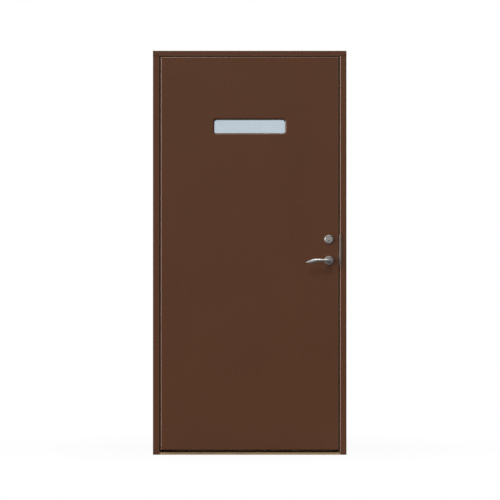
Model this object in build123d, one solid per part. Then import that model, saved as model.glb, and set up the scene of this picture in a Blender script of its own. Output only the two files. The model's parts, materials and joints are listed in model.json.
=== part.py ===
from build123d import *
import os
from math import cos, radians, sin, sqrt

# A flush painted steel door with a small glazed slot, hung in its folded steel frame.
# Lengths are in millimetres. X runs from the hinge side to the lock side, Y from the
# pull face to the room, Z up. The origin is on the floor, at mid-width of the frame
# and at mid-thickness of the closed leaf.

# Clearances and cuts
overrun = 2
seam = 0.3
slide_gap = 0.3
turn_gap = 0.06

# Frame
frame_width = 990
frame_height = 2066
frame_depth = 92
jamb_face = 34
head_face = 28
frame_sheet = 1.5
face_bend = 5
fold_bend = 2
groove_bend = 1
stop_projection = 16
wall_lip = 10
groove_setback = 4
groove_width = 5
groove_depth = 7

# Fixing tubes that the wall screws pass through
fixing_radius = 5.25
fixing_tube_wall = 2.5
fixing_low_rise = 240
fixing_top_drop = 226
fixing_inner_share = 0.5625

# Threshold
threshold_nose = 12
threshold_tread = 15
threshold_rise = 36
threshold_back = 33
threshold_round = 3
threshold_corner = 1.5
threshold_groove_height = 30

# Seals
seal_gap = 4
seal_width = 9
seal_wall = 0.9

# Leaf
leaf_thickness = 50
leaf_gap = 6
leaf_top_gap = 3
leaf_floor_gap = 24
leaf_sheet = 1
leaf_bend = 5
channel_sheet = 2
channel_bend = 3
channel_flange = 26
core_gap = 2

# Glazing
window_width = 362
window_height = 68
window_corner = 9
window_drop = 355
window_roll = 9
window_flange = 11
glass_cover = 10
glass_corner = 6
glass_sheet = 4
glass_cavity = 10
gasket_thickness = 2.5
spacer_setback = 2
spacer_width = 7
rebate_gap = 2
bead_sheet = 1.5
bead_flange = 24
bead_screw_inset = 5
bead_screw_head = 3.6
bead_screw_shank = 1.8
bead_screw_sink = 1.3
bead_screw_length = 8
block_length = 60

# Hidden hinges
hinge_inset = 17.5
hinge_setback = 14
hinge_low_rise = 206
hinge_top_drop = 205
pin_radius = 5
pin_head_radius = 8
pin_head = 3
knuckle_radius = 9
arm_height = 90
arm_sheet = 8
arm_reach = 23
arm_bend = 7
arm_slot_front = 8
arm_slot_back = 6
arm_slot_gap = 3
washer_thickness = 2
washer_inset = 0.8
washer_play = 0.1
bracket_sheet = 5
bracket_bend = 7
bracket_inset = 2
bracket_front = 9
bracket_back = 29
plate_sheet = 4
plate_width = 26
plate_height = 160
plate_corner = 5
plate_offset = 5
plate_screw_pitch = 124
plate_screw_spread = 12
plate_screw_head = 4.4
plate_screw_shank = 2.2
plate_screw_sink = 2.2
plate_screw_length = 7

# Mortise lock
backset = 50
lever_height = 993
cylinder_rise = 108
lock_rise = 56
case_height = 166
case_depth = 75
case_thickness = 15
case_sheet = 1.5
case_gap = 0.5
forend_sheet = 3
forend_width = 22
forend_height = 235
forend_corner = 4
forend_screw_pitch = 210
forend_screw_head = 4
forend_screw_shank = 2
forend_screw_sink = 2
forend_screw_length = 5.5

# Lever follower and latch bolt
spindle_side = 8
follower_radius = 12
follower_journal = 8
follower_arm = 18.4
follower_arm_width = 7
follower_arm_thickness = 6
latch_throw = 11
latch_height = 22
latch_rise = 25
latch_body = 24
latch_nose = 2.2
latch_tail_height = 7
latch_tail_rise = 20
latch_hook = 5.6
latch_hook_gap = 0.9
latch_guide_gap = 0.5

# Bolt cam and dead bolt
bolt_throw = 20
bolt_height = 20
bolt_drop = 1.2
bolt_setback = 0.5
bolt_heel = 10
bolt_chamfer = 1.2
cam_radius = 9
cam_journal = 6
cam_arm_width = 7
cam_notch_gap = 1
cam_thickness = 11
cam_start_angle = 45
tailpiece_height = 8
tailpiece_sheet = 2.5

# Lock cylinder
cylinder_radius = 15.5
cylinder_proud = 8
plug_radius = 6.5
plug_drop = 6.5
plug_proud = 1
keyway_width = 2.6
keyway_height = 9
keyway_depth = 20
ring_radius = 23
ring_height = 9
ring_rim = 3
ring_lip = 18

# Rosettes, levers and thumbturn
rosette_radius = 23.5
rosette_height = 8
rosette_rim = 2.5
rosette_edge = 19.5
rosette_dish = 17.5
rosette_dish_depth = 1.5
neck_radius = 10
neck_start = 1
neck_length = 38
elbow_radius = 14
elbow_angle = 45
lever_length = 120
blade_height = 22
blade_depth = 13
spindle_engagement = 30
turn_neck_radius = 7
turn_length = 40
turn_width = 10
turn_height = 16
turn_stand = 5

# Shares of the lever's length, its blade's height and its blade's depth, from the neck to the tip:
# how far out each section lies, how far it rises, its height, its depth and how far it leans to the leaf
blade_shares = (
    (0.24, 0.015, 0.64, 0.92, 0.00),
    (0.42, 0.015, 0.73, 0.86, 0.00),
    (0.60, -0.004, 0.92, 0.76, 0.10),
    (0.76, -0.039, 0.91, 0.66, 0.25),
    (0.90, -0.058, 0.47, 0.50, 0.42),
    (1.00, -0.083, 0.08, 0.10, 0.58),
)

# Strike plate and strike box
strike_sheet = 3.5
strike_height = 160
strike_depth = 40
strike_lip = 8
strike_window_gap = 0.8
strike_screw_inset = 12
strike_screw_head = 4
strike_screw_shank = 2
strike_screw_sink = 1.8
strike_screw_length = 6
strike_box_sheet = 1.2
strike_box_depth = 24
strike_box_height = 108
strike_box_width = 26

# Places worked out from the sizes above
front = -leaf_thickness / 2
back = leaf_thickness / 2
stop_face = back + seal_gap
frame_back = front + frame_depth
half_width = frame_width / 2
reveal = half_width - jamb_face
stop_side = reveal - stop_projection
leaf_edge = reveal - leaf_gap
leaf_top = frame_height - head_face - leaf_top_gap
hinge_x = -half_width + hinge_inset
hinge_y = front + hinge_setback
hinge_low = leaf_floor_gap + hinge_low_rise
hinge_high = leaf_top - hinge_top_drop
hinge_heights = {"lower": hinge_low, "middle": (hinge_low + hinge_high) / 2, "upper": hinge_high}
hinge_web = -leaf_edge + plate_sheet
lock_web = leaf_edge - forend_sheet
lock_x = leaf_edge - backset
case_back = lock_web - case_depth
lock_middle_height = lever_height + lock_rise
case_low = lock_middle_height - case_height / 2
case_high = lock_middle_height + case_height / 2
case_face = case_thickness / 2
case_room = case_face - case_sheet
bolt_face = case_room - slide_gap
cylinder_height = lever_height + cylinder_rise
cam_height = cylinder_height - plug_drop
cam_arm = bolt_throw / sqrt(2)
latch_height_middle = lever_height + latch_rise
bolt_top = cam_height - bolt_throw / 2 - bolt_drop
window_middle_height = leaf_top - window_drop
pane_front = front + window_flange + gasket_thickness
pane_back = pane_front + 2 * glass_sheet + glass_cavity
bead_start = pane_back + gasket_thickness
glass_width = window_width + 2 * glass_cover
glass_height = window_height + 2 * glass_cover
rebate_width = glass_width + 2 * rebate_gap
rebate_height = glass_height + 2 * rebate_gap
low_end = (Align.CENTER, Align.CENTER, Align.MIN)
low_corner = (Align.MIN, Align.MIN, Align.MIN)


def block(x_low, x_high, y_low, y_high, z_low, z_high):
    """A plain block between two corners."""
    size = Box(x_high - x_low, y_high - y_low, z_high - z_low, align=low_corner)
    return Pos(x_low, y_low, z_low) * size


def rod(point, direction, radius, length):
    """A round rod from a point along a direction."""
    return Plane(origin=point, z_dir=direction).location * Cylinder(radius, length, align=low_end)


def window_prism(width, height, corner, y_low, y_high):
    """A prism through the leaf with the rounded outline of the window."""
    place = Plane(origin=(0, y_low, window_middle_height), x_dir=(1, 0, 0), z_dir=(0, 1, 0))
    return extrude(place * RectangleRounded(width, height, corner), y_high - y_low)


def window_ring(width, height, corner, wall, y_low, y_high):
    """A ring round the window, measured over its outside."""
    outside = window_prism(width, height, corner, y_low, y_high)
    hole_corner = max(corner - wall, corner / 2)
    hole = window_prism(width - 2 * wall, height - 2 * wall, hole_corner, y_low - overrun, y_high + overrun)
    return outside - hole


def turned(points, x, z):
    """A solid turned about an axis along Y, from an outline of radius and Y."""
    outline = make_face(Polyline(*points, close=True))
    return Pos(x, 0, z) * revolve(outline, Axis.Y)


def screw(point, inward, head, shank, sink, length):
    """A countersunk screw whose head is level with a point on the surface."""
    cone = Cone(head, shank, sink, align=low_end)
    return Plane(origin=point, z_dir=inward).location * (cone + Cylinder(shank, length, align=low_end))


def to_room(solid):
    """The same piece on the room side of the leaf."""
    return mirror(solid, Plane.XZ)


def group(solids):
    """Separate solids kept together under one name."""
    return Compound(children=[piece for solid in solids for piece in solid.solids()])


# Frame: one folded section, from the wall lip round the face, the reveal, the stop and the back


def frame_outline(face):
    """Visible corners of the folded section, from the wall side and in depth."""
    groove_near = face + groove_setback
    groove_far = groove_near + groove_width
    groove_floor = stop_face + groove_depth
    stop_edge = face + stop_projection
    return [
        (0, front + wall_lip),
        (0, front),
        (face, front),
        (face, stop_face),
        (groove_near, stop_face),
        (groove_near, groove_floor),
        (groove_far, groove_floor),
        (groove_far, stop_face),
        (stop_edge, stop_face),
        (stop_edge, frame_back),
        (0, frame_back),
        (0, frame_back - wall_lip),
    ]


def frame_section(face):
    """The folded sheet of a jamb or of the head, open to the wall."""
    front_bends = [fold_bend, face_bend, groove_bend, fold_bend, groove_bend]
    back_bends = [groove_bend, fold_bend, fold_bend, fold_bend, fold_bend]
    skin = FilletPolyline(*frame_outline(face), radius=front_bends + back_bends)
    return make_face(offset(skin, frame_sheet, side=Side.LEFT))


def fixing_heights():
    """Heights of the wall screws in each jamb."""
    high = frame_height - fixing_top_drop
    middle = (fixing_low_rise + high) / 2
    outer = high - middle
    return [middle + side * half for half in (outer, fixing_inner_share * outer) for side in (-1, 1)]


head_plane = Plane(origin=(-half_width, 0, frame_height), x_dir=(0, 0, -1), z_dir=(1, 0, 0))
fixing_y = (stop_face + frame_back) / 2


def make_head():
    """The head runs the full width, over both jambs."""
    return extrude(head_plane * frame_section(head_face), frame_width)


def head_room():
    """The space that the head takes from the tops of the jambs."""
    face_line = head_face + seam
    stop_line = head_face + stop_projection + seam
    step = stop_face - groove_bend - seam
    corners = [
        (-overrun, front - overrun),
        (face_line, front - overrun),
        (face_line, step),
        (stop_line, step),
        (stop_line, frame_back + overrun),
        (-overrun, frame_back + overrun),
    ]
    return extrude(head_plane * make_face(Polyline(*corners, close=True)), frame_width)


def make_jamb():
    """The hinge-side jamb before its hinge slots, with holes for the wall screws."""
    jamb = extrude(Pos(-half_width, 0, 0) * frame_section(jamb_face), frame_height) - head_room()
    for height in fixing_heights():
        start = (-stop_side - frame_sheet - overrun, fixing_y, height)
        jamb -= rod(start, (1, 0, 0), fixing_radius, frame_sheet + 2 * overrun)
    return jamb


def make_hinge_jamb():
    """The hinge jamb with a slot in its reveal for each hinge arm."""
    jamb = make_jamb()
    slot_low = hinge_y - arm_slot_front
    slot_high = hinge_y + arm_reach + arm_slot_back
    half_slot = arm_height / 2 + arm_slot_gap
    for height in hinge_heights.values():
        sheet_low = -reveal - frame_sheet - overrun
        jamb -= block(sheet_low, -reveal + overrun, slot_low, slot_high,
                      height - half_slot, height + half_slot)
    return jamb


def bolt_windows(gap):
    """Passages for the latch and the dead bolt through the strike and the lock jamb."""
    x_low = leaf_edge
    x_high = reveal + frame_sheet + overrun
    latch_half = latch_height / 2 + gap
    bolt_low = bolt_top - bolt_height - gap
    latch = block(x_low, x_high, -bolt_face - gap, bolt_face + gap,
                  latch_height_middle - latch_half, latch_height_middle + latch_half)
    bolt = block(x_low, x_high, -bolt_face - gap, bolt_face + gap, bolt_low, bolt_top + gap)
    return latch + bolt


def strike_screws():
    """The screws that hold the strike plate to the lock jamb."""
    half = strike_height / 2 - strike_screw_inset
    face = reveal - strike_sheet
    heights = (lock_middle_height - half, lock_middle_height + half)
    return [
        screw((face, 0, height), (1, 0, 0), strike_screw_head, strike_screw_shank,
              strike_screw_sink, strike_screw_length)
        for height in heights
    ]


def make_lock_jamb():
    """The lock jamb with windows for the bolts and holes for the strike's screws."""
    jamb = mirror(make_jamb(), Plane.YZ) - bolt_windows(2 * strike_window_gap)
    for fastener in strike_screws():
        jamb -= fastener
    return jamb


def make_fixing_tubes():
    """Tubes that keep the hollow jambs from closing under the wall screws."""
    tubes = []
    length = half_width - stop_side - frame_sheet
    for height in fixing_heights():
        start = (-half_width, fixing_y, height)
        outside = rod(start, (1, 0, 0), fixing_radius + fixing_tube_wall, length)
        tube = outside - rod(start, (1, 0, 0), fixing_radius, length)
        tubes += [tube, mirror(tube, Plane.YZ)]
    return group(tubes)


def make_threshold():
    """Oak threshold with a sloped tread, a raised stop and a groove for its seal."""
    top = FilletPolyline(
        (front, 0),
        (front, threshold_nose),
        (stop_face, threshold_tread),
        (stop_face, threshold_rise),
        (frame_back, threshold_back),
        (frame_back, 0),
        radius=[threshold_round, threshold_corner, threshold_round, threshold_round],
    )
    outline = make_face([top, Line((frame_back, 0), (front, 0))])
    end = reveal - seam
    place = Plane(origin=(-end, 0, 0), x_dir=(0, 1, 0), z_dir=(1, 0, 0))
    sill = extrude(place * outline, 2 * end)
    stop_end = stop_side - seam
    notch = block(stop_end, end + overrun, stop_face - seam, frame_back + overrun,
                  -overrun, threshold_rise + overrun)
    groove_low = threshold_groove_height - groove_width / 2
    groove = block(-end, end, stop_face - overrun, stop_face + groove_depth,
                   groove_low, groove_low + groove_width)
    return sill - notch - mirror(notch, Plane.YZ) - groove


def seal_section(centre):
    """A hollow bulb with a foot, across the groove and in depth."""
    half = seal_width / 2
    rise = seal_gap - slide_gap
    top = stop_face - seal_wall
    bulb = make_face([
        ThreePointArc((centre - half, stop_face), (centre, stop_face - rise), (centre + half, stop_face)),
        Line((centre + half, stop_face), (centre - half, stop_face)),
    ])
    hollow_half = half - 2 * seal_wall
    crown = stop_face - rise + seal_wall
    hollow = make_face([
        ThreePointArc((centre - hollow_half, top), (centre, crown), (centre + hollow_half, top)),
        Line((centre + hollow_half, top), (centre - hollow_half, top)),
    ])
    foot_depth = groove_depth - seam
    foot = Pos(centre, stop_face + foot_depth / 2) * Rectangle(groove_width - 2 * seam, foot_depth)
    return bulb - hollow + foot


def make_jamb_seal():
    """The seal in the groove of the hinge jamb, between the threshold and the head."""
    centre = jamb_face + groove_setback + groove_width / 2
    low = threshold_tread + threshold_corner + seam
    high = frame_height - head_face - stop_projection - seam
    return extrude(Pos(-half_width, 0, low) * seal_section(centre), high - low)


def make_head_seal():
    """The seal in the groove of the head, between the jambs' reveals."""
    centre = head_face + groove_setback + groove_width / 2
    place = Plane(origin=(-stop_side, 0, frame_height), x_dir=(0, 0, -1), z_dir=(1, 0, 0))
    return extrude(place * seal_section(centre), 2 * stop_side)


def make_threshold_seal():
    """The seal in the raised stop of the threshold."""
    end = stop_side - seam
    place = Plane(origin=(end, 0, 0), x_dir=(0, 0, 1), z_dir=(-1, 0, 0))
    return extrude(place * seal_section(threshold_groove_height), 2 * end)


def make_strike_plate():
    """A plate on the reveal whose lip wraps the jamb's rounded edge onto its face."""
    skin = FilletPolyline(
        (reveal, front + strike_depth),
        (reveal, front),
        (reveal + strike_lip, front),
        radius=face_bend,
    )
    profile = make_face(offset(skin, strike_sheet, side=Side.RIGHT))
    low = lock_middle_height - strike_height / 2
    plate = extrude(Pos(0, 0, low) * profile, strike_height) - bolt_windows(strike_window_gap)
    for fastener in strike_screws():
        plate -= fastener
    return plate


def make_strike_box():
    """The box behind the strike that keeps mortar and dust away from the bolts."""
    middle = (latch_height_middle + bolt_top - bolt_height / 2) / 2
    face = reveal + frame_sheet
    half = strike_box_height / 2
    side = strike_box_width / 2
    wall = strike_box_sheet
    outside = block(face, face + strike_box_depth, -side, side, middle - half, middle + half)
    room = block(face - overrun, face + strike_box_depth - wall, -side + wall, side - wall,
                 middle - half + wall, middle + half - wall)
    return outside - room


# Hidden hinges: a bracket and pin in the hollow jamb, a curved arm on the leaf


def make_bracket(height):
    """A bracket bent from flat bar, with a hole in each leg for the pin."""
    half = arm_height / 2 + washer_play + washer_thickness + bracket_sheet
    leg_end = -reveal - frame_sheet
    bracket_back_face = -half_width + bracket_inset
    bar = FilletPolyline(
        (leg_end, half),
        (bracket_back_face, half),
        (bracket_back_face, -half),
        (leg_end, -half),
        radius=bracket_bend,
    )
    place = Plane(origin=(0, hinge_y - bracket_front, height), x_dir=(1, 0, 0), z_dir=(0, 1, 0))
    section = make_face(offset(bar, bracket_sheet, side=Side.LEFT))
    bracket = extrude(place * section, bracket_front + bracket_back)
    return bracket - rod((hinge_x, hinge_y, height - half), (0, 0, 1), pin_radius, 2 * half)


def make_pin(height):
    """A headed pin through both legs of the bracket."""
    half = arm_height / 2 + washer_play + washer_thickness + bracket_sheet
    pin = rod((hinge_x, hinge_y, height - half), (0, 0, 1), pin_radius, 2 * half)
    return pin + rod((hinge_x, hinge_y, height + half), (0, 0, 1), pin_head_radius, pin_head)


def make_washers():
    """A thrust washer above and below each hinge arm."""
    rings = []
    low = arm_height / 2 + washer_play
    for height in hinge_heights.values():
        for start in (height + low, height - low - washer_thickness):
            foot = (hinge_x, hinge_y, start)
            outside = rod(foot, (0, 0, 1), knuckle_radius - washer_inset, washer_thickness)
            rings.append(outside - rod(foot, (0, 0, 1), pin_radius + turn_gap, washer_thickness))
    return group(rings)


def plate_outline(height, gap):
    """The edge plate of a hinge, let into the leaf's edge."""
    middle_y = hinge_y + arm_reach - plate_offset
    place = Plane(origin=(-leaf_edge, middle_y, height), x_dir=(0, 1, 0), z_dir=(1, 0, 0))
    outline = RectangleRounded(plate_width + 2 * gap, plate_height + 2 * gap, plate_corner + gap)
    return extrude(place * outline, plate_sheet)


def plate_screws(height):
    """Screws of one edge plate, above and below the arm."""
    middle_y = hinge_y + arm_reach - plate_offset
    spots = [
        (-leaf_edge, middle_y + across * plate_screw_spread / 2, height + up * plate_screw_pitch / 2)
        for across in (-1, 1)
        for up in (-1, 1)
    ]
    return [
        screw(spot, (1, 0, 0), plate_screw_head, plate_screw_shank, plate_screw_sink, plate_screw_length)
        for spot in spots
    ]


def make_plate_screws():
    """The screws of all three edge plates."""
    return group([fastener for height in hinge_heights.values() for fastener in plate_screws(height)])


def make_arm(height):
    """A swan-neck arm: knuckle, bend round the jamb's edge, and plate on the leaf's edge."""
    neck_x = hinge_x - knuckle_radius + arm_sheet / 2
    neck = trace(
        FilletPolyline(
            (neck_x, hinge_y),
            (neck_x, hinge_y + arm_reach),
            (-leaf_edge, hinge_y + arm_reach),
            radius=arm_bend,
        ),
        line_width=arm_sheet,
    )
    knuckle = Pos(hinge_x, hinge_y) * Circle(knuckle_radius)
    low = height - arm_height / 2
    arm = extrude(Pos(0, 0, low) * (neck + knuckle), arm_height) + plate_outline(height, 0)
    arm -= rod((hinge_x, hinge_y, low), (0, 0, 1), pin_radius + turn_gap, arm_height)
    for fastener in plate_screws(height):
        arm -= fastener
    return arm


# Leaf: two folded skins, two channels and a core


def skin_block(inset, y_high):
    """The pull half of the leaf, set in all round, with its front edges rounded."""
    edge = leaf_edge - inset
    body = block(-edge, edge, front + inset, y_high, leaf_floor_gap + inset, leaf_top - inset)
    body = fillet(body.faces().sort_by(Axis.Y)[0].edges(), leaf_bend - inset)
    return body


def rolled_window(body, inset):
    """Cut the window and roll its front edge inwards."""
    width = window_width + 2 * inset
    height = window_height + 2 * inset
    body -= window_prism(width, height, window_corner + inset, front - overrun, back)
    face = body.faces().sort_by(Axis.Y)[0]
    return fillet(face.inner_wires()[0].edges(), window_roll - inset)


def forend_slot(gap):
    """The forend's outline, let into the leaf's lock edge."""
    place = Plane(origin=(lock_web, 0, lock_middle_height), x_dir=(0, 1, 0), z_dir=(1, 0, 0))
    outline = RectangleRounded(forend_width + 2 * gap, forend_height + 2 * gap, forend_corner + gap)
    return extrude(place * outline, forend_sheet)


def edge_cuts():
    """Recesses for the forend and for the three hinge plates."""
    cuts = forend_slot(seam)
    for height in hinge_heights.values():
        cuts += plate_outline(height, seam)
    return cuts


def make_front_skin():
    """The pull-side skin, with its folded edges and its turned-in window."""
    outside = rolled_window(skin_block(0, -seam / 2), 0)
    inside = rolled_window(skin_block(leaf_sheet, overrun), leaf_sheet)
    trim_width = window_width + 4 * leaf_sheet
    trim_height = window_height + 4 * leaf_sheet
    trim_corner = window_corner + 2 * leaf_sheet
    trim = window_prism(trim_width, trim_height, trim_corner, front + window_flange, overrun)
    skin = outside - inside - trim - edge_cuts()
    start = front - overrun
    skin -= rod((lock_x, start, lever_height), (0, 1, 0), neck_radius + overrun, leaf_bend)
    return skin - rod((lock_x, start, cylinder_height), (0, 1, 0), cylinder_radius + slide_gap, leaf_bend)


def make_rear_skin():
    """The room-side skin, open where the glass goes in."""
    skin = to_room(skin_block(0, -seam / 2) - skin_block(leaf_sheet, overrun)) - edge_cuts()
    corner = glass_corner + rebate_gap
    skin -= window_prism(rebate_width, rebate_height, corner, back - leaf_bend, back + overrun)
    for fastener in bead_screws():
        skin -= fastener
    start = back - leaf_sheet - overrun
    skin -= rod((lock_x, start, lever_height), (0, 1, 0), neck_radius + overrun, leaf_bend)
    return skin - rod((lock_x, start, cam_height), (0, 1, 0), turn_neck_radius + overrun, leaf_bend)


def make_channel(web, outward):
    """A folded channel along one long edge of the leaf."""
    side = leaf_thickness / 2 - leaf_sheet
    toe = web - outward * channel_flange
    line = FilletPolyline((toe, -side), (web, -side), (web, side), (toe, side), radius=channel_bend)
    inner = Side.LEFT if outward > 0 else Side.RIGHT
    low = leaf_floor_gap + leaf_bend
    section = make_face(offset(line, channel_sheet, side=inner))
    return extrude(Pos(0, 0, low) * section, leaf_top - leaf_bend - low)


def make_hinge_channel():
    """The channel that the hinge plates are screwed to."""
    channel = make_channel(hinge_web, -1)
    for height in hinge_heights.values():
        for fastener in plate_screws(height):
            channel -= fastener
    return channel


def case_block(gap):
    """The outside of the lock case."""
    return block(case_back - gap, lock_web, -case_face - gap, case_face + gap,
                 case_low - gap, case_high + gap)


def make_lock_channel():
    """The channel that the forend is screwed to, with a mouth for the lock case."""
    channel = make_channel(lock_web, 1) - case_block(slide_gap)
    for fastener in forend_screws():
        channel -= fastener
    return channel


def make_core():
    """Mineral wool slab, stepped for the channels and cut out for the glass and the lock."""
    low = leaf_floor_gap + leaf_bend
    high = leaf_top - leaf_bend
    side = leaf_thickness / 2 - leaf_sheet
    x_low = hinge_web + channel_sheet + core_gap
    x_high = lock_web - channel_sheet - core_gap
    core = block(x_low, x_high, -side + channel_sheet, side - channel_sheet, low, high)
    toe_low = hinge_web + channel_flange + seam
    toe_high = lock_web - channel_flange - seam
    core += block(toe_low, toe_high, -side, side, low, high)
    core -= window_prism(rebate_width, rebate_height, glass_corner + rebate_gap, front, back)
    for fastener in bead_screws():
        core -= fastener
    core -= block(case_back - case_gap, x_high + overrun, -case_face - case_gap, case_face + case_gap,
                  case_low - case_gap, case_high + case_gap)
    core -= rod((lock_x, front, lever_height), (0, 1, 0), neck_radius + overrun, leaf_thickness)
    half = leaf_thickness / 2
    core -= rod((lock_x, front, cylinder_height), (0, 1, 0), cylinder_radius + slide_gap, half)
    return core - rod((lock_x, 0, cam_height), (0, 1, 0), turn_neck_radius + overrun, half)


# Glazing


def make_pane(y_low):
    """One pane of the sealed glass unit."""
    return window_prism(glass_width, glass_height, glass_corner, y_low, y_low + glass_sheet)


def make_gasket(y_low):
    """A flat gasket between the glass and what holds it."""
    return window_ring(glass_width, glass_height, glass_corner, glass_cover - leaf_sheet / 2,
                       y_low, y_low + gasket_thickness)


def make_spacer():
    """The bar that holds the two panes apart, hidden behind the window's edge."""
    width = glass_width - 2 * spacer_setback
    height = glass_height - 2 * spacer_setback
    y_low = pane_front + glass_sheet
    return window_ring(width, height, glass_corner, spacer_width, y_low, y_low + glass_cavity)


def bead_screws():
    """Screws through the flange of the glazing bead."""
    across = window_width / 2 + bead_flange - bead_screw_inset
    up = window_height / 2 + bead_flange - bead_screw_inset
    spots = [(side * across, 0) for side in (-1, 1)]
    spots += [(column * across / 2, row * up) for column in (-1, 1) for row in (-1, 1)]
    face = back + bead_sheet
    return [
        screw((x, face, window_middle_height + rise), (0, -1, 0), bead_screw_head, bead_screw_shank,
              bead_screw_sink, bead_screw_length)
        for x, rise in spots
    ]


def make_bead():
    """The room-side bead: a flange on the skin and a collar that presses the gasket."""
    face = back + bead_sheet
    width = window_width + 2 * bead_sheet
    height = window_height + 2 * bead_sheet
    collar = window_ring(width, height, window_corner + bead_sheet, bead_sheet, bead_start, face)
    flange_width = window_width + 2 * bead_flange
    flange_height = window_height + 2 * bead_flange
    flange_corner = window_corner + bead_flange
    flange_wall = bead_flange - bead_sheet / 2
    flange = window_ring(flange_width, flange_height, flange_corner, flange_wall, back, face)
    bead = flange + collar
    for fastener in bead_screws():
        bead -= fastener
    return bead


def make_setting_blocks():
    """Two blocks that the glass unit stands on."""
    low = window_middle_height - rebate_height / 2
    quarter = glass_width / 4
    return group([
        block(side * quarter - block_length / 2, side * quarter + block_length / 2, pane_front, pane_back,
              low, low + rebate_gap)
        for side in (-1, 1)
    ])


# Mortise lock


def forend_screws():
    """The two screws that hold the forend to the leaf's lock channel."""
    heights = (lock_middle_height - forend_screw_pitch / 2, lock_middle_height + forend_screw_pitch / 2)
    return [
        screw((leaf_edge, 0, height), (-1, 0, 0), forend_screw_head, forend_screw_shank,
              forend_screw_sink, forend_screw_length)
        for height in heights
    ]


def journal_holes():
    """Bearing holes through the lock case for the follower and the bolt cam."""
    start = -case_face - overrun
    length = case_thickness + 2 * overrun
    follower = rod((lock_x, start, lever_height), (0, 1, 0), follower_journal + turn_gap, length)
    return follower + rod((lock_x, start, cam_height), (0, 1, 0), cam_journal + turn_gap, length)


def make_case():
    """The lock case, a folded pan that is open to the forend and to its cover."""
    pan = block(case_back, lock_web, -case_face, case_room, case_low, case_high)
    room = block(case_back + case_sheet, lock_web + overrun, -case_room, case_room + overrun,
                 case_low + case_sheet, case_high - case_sheet)
    return pan - room - journal_holes()


def make_case_cover():
    """The flat cover of the lock case."""
    return block(case_back, lock_web, case_room, case_face, case_low, case_high) - journal_holes()


def make_forend():
    """The forend, with mouths for the two bolts."""
    plate = forend_slot(0)
    mouth = bolt_face + slide_gap
    latch_half = latch_height / 2 + slide_gap
    bolt_low = bolt_top - bolt_height - slide_gap
    x_low = lock_web - overrun
    x_high = leaf_edge + overrun
    plate -= block(x_low, x_high, -mouth, mouth,
                   latch_height_middle - latch_half, latch_height_middle + latch_half)
    plate -= block(x_low, x_high, -mouth, mouth, bolt_low, bolt_top + slide_gap)
    for fastener in forend_screws():
        plate -= fastener
    return plate


def make_follower():
    """The lever's follower, whose arm draws the latch back."""
    hub = rod((lock_x, -bolt_face, lever_height), (0, 1, 0), follower_radius, 2 * bolt_face)
    journal = rod((lock_x, -case_face, lever_height), (0, 1, 0), follower_journal, case_thickness)
    half_width_arm = follower_arm_width / 2
    half_thick = follower_arm_thickness / 2
    arm = block(lock_x - half_width_arm, lock_x + half_width_arm, -half_thick, half_thick,
                lever_height, lever_height + follower_arm)
    arm = arm & rod((lock_x, -half_thick, lever_height), (0, 1, 0), follower_arm, follower_arm_thickness)
    half_hole = spindle_side / 2
    hole = block(lock_x - half_hole, lock_x + half_hole, -case_thickness, case_thickness,
                 lever_height - half_hole, lever_height + half_hole)
    return hub + journal + arm - hole


def make_latch():
    """The latch bolt, bevelled to the room side, with a hooked tail round the follower's arm."""
    tip = leaf_edge + latch_throw
    heel = leaf_edge - latch_body
    outline = Polyline(
        (heel, -bolt_face),
        (tip, -bolt_face),
        (tip, -bolt_face + latch_nose),
        (leaf_edge + latch_guide_gap, bolt_face),
        (heel, bolt_face),
        close=True,
    )
    low = latch_height_middle - latch_height / 2
    head = extrude(Pos(0, 0, low) * make_face(outline), latch_height)
    half_thick = follower_arm_thickness / 2
    hook_face = lock_x - follower_arm_width / 2 - latch_hook_gap
    tail_low = lever_height + latch_tail_rise
    hook_end = hook_face - latch_hook
    tail = block(hook_end, heel, -half_thick, half_thick, tail_low, tail_low + latch_tail_height)
    hook_low = lever_height + follower_radius + latch_guide_gap
    return head + tail + block(hook_end, hook_face, -half_thick, half_thick, hook_low, tail_low)


def make_dead_bolt():
    """The dead bolt, drawn back, with a notch in its tail for the cam."""
    end = leaf_edge - bolt_setback
    notch_x = lock_x - bolt_throw / 2
    half_notch = cam_arm_width / 2 + cam_notch_gap
    notch_floor = cam_height - cam_arm - half_notch
    bar = block(notch_x - bolt_heel, end, -bolt_face, bolt_face, bolt_top - bolt_height, bolt_top)
    bar = chamfer(bar.faces().sort_by(Axis.X)[-1].edges(), bolt_chamfer)
    return bar - block(notch_x - half_notch, notch_x + half_notch, -case_face, case_face,
                       notch_floor, bolt_top + overrun)


def make_tailpiece():
    """The flat bar that joins the plug, the cam and the thumbturn."""
    half_sheet = tailpiece_sheet / 2
    half_height = tailpiece_height / 2
    return block(lock_x - half_sheet, lock_x + half_sheet, -case_face - slide_gap, back + rosette_height,
                 cam_height - half_height, cam_height + half_height)


def make_cam():
    """The bolt cam: a hub in the case and an arm that stands in the bolt's notch."""
    half = cam_thickness / 2
    centre = Pos(lock_x, 0, cam_height)
    arm = block(-cam_arm_width / 2, cam_arm_width / 2, -half, half, -cam_arm, 0)
    arm += rod((0, -half, -cam_arm), (0, 1, 0), cam_arm_width / 2, cam_thickness)
    hub = rod((0, -half, 0), (0, 1, 0), cam_radius, cam_thickness)
    journal = rod((0, -case_face, 0), (0, 1, 0), cam_journal, case_thickness)
    return centre * (hub + journal + Rot(0, cam_start_angle, 0) * arm) - make_tailpiece()


def make_cylinder_body():
    """The lock cylinder's body, with its plug bored below the middle."""
    start = front - cylinder_proud
    length = -case_face - slide_gap - start
    body = rod((lock_x, start, cylinder_height), (0, 1, 0), cylinder_radius, length)
    return body - rod((lock_x, start, cam_height), (0, 1, 0), plug_radius + turn_gap, length)


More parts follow.
